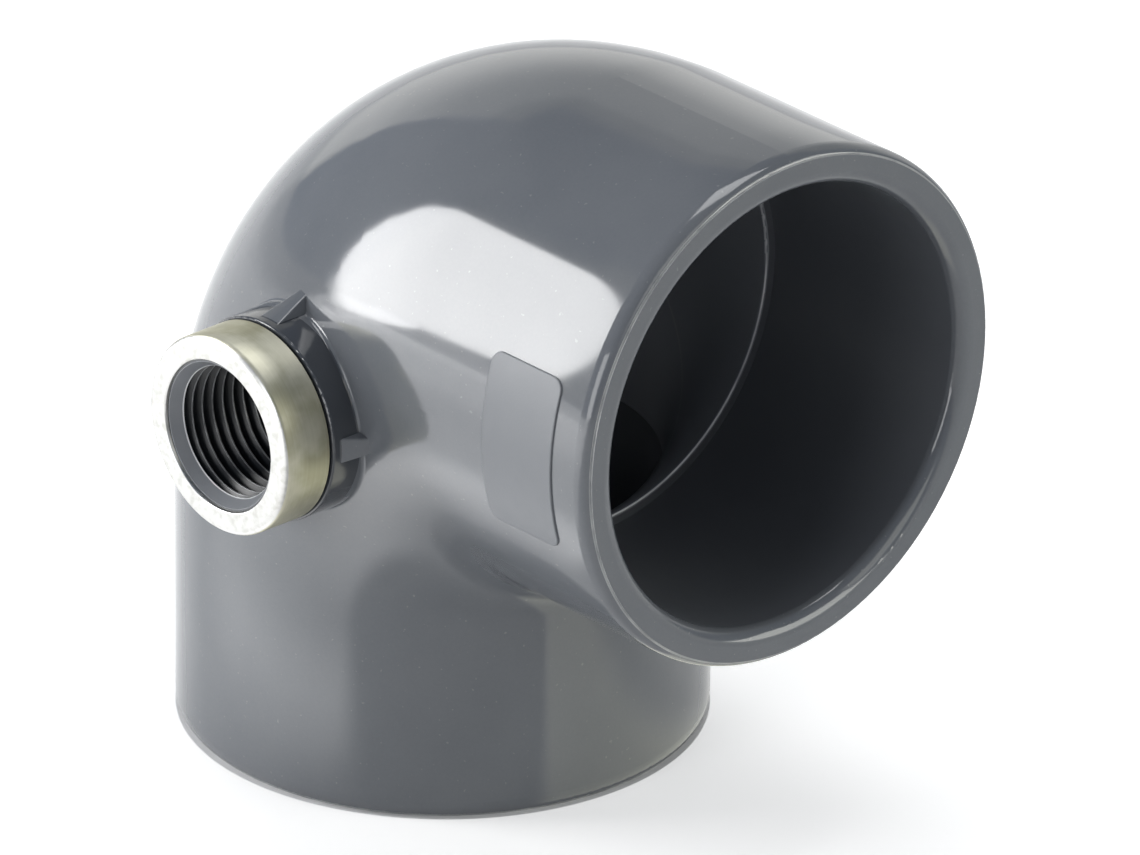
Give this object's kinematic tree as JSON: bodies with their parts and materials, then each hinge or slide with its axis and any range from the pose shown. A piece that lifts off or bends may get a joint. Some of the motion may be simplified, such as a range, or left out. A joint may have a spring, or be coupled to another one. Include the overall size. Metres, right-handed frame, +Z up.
{
  "type": "90 degree pipe elbow with tapped side outlet",
  "caption": "Grey PVC pressure-pipe elbow with plain solvent-weld sockets at right angles and a small tapped side outlet ringed with steel.",
  "frame": {"origin": "centre of the lower socket's mouth, which the elbow stands on", "axes": "+Z up the lower leg's axis, +X out of the horizontal leg's mouth, -Y out of the tapped outlet"},
  "size_m": [0.1062, 0.0867, 0.1062],
  "materials": {
    "pvc": "gloss",
    "steel": "satin"
  },
  "bodies": {
    "root": {"elbow_body": "pvc", "reinforcing_ring": "steel"}
  },
  "joints": []
}
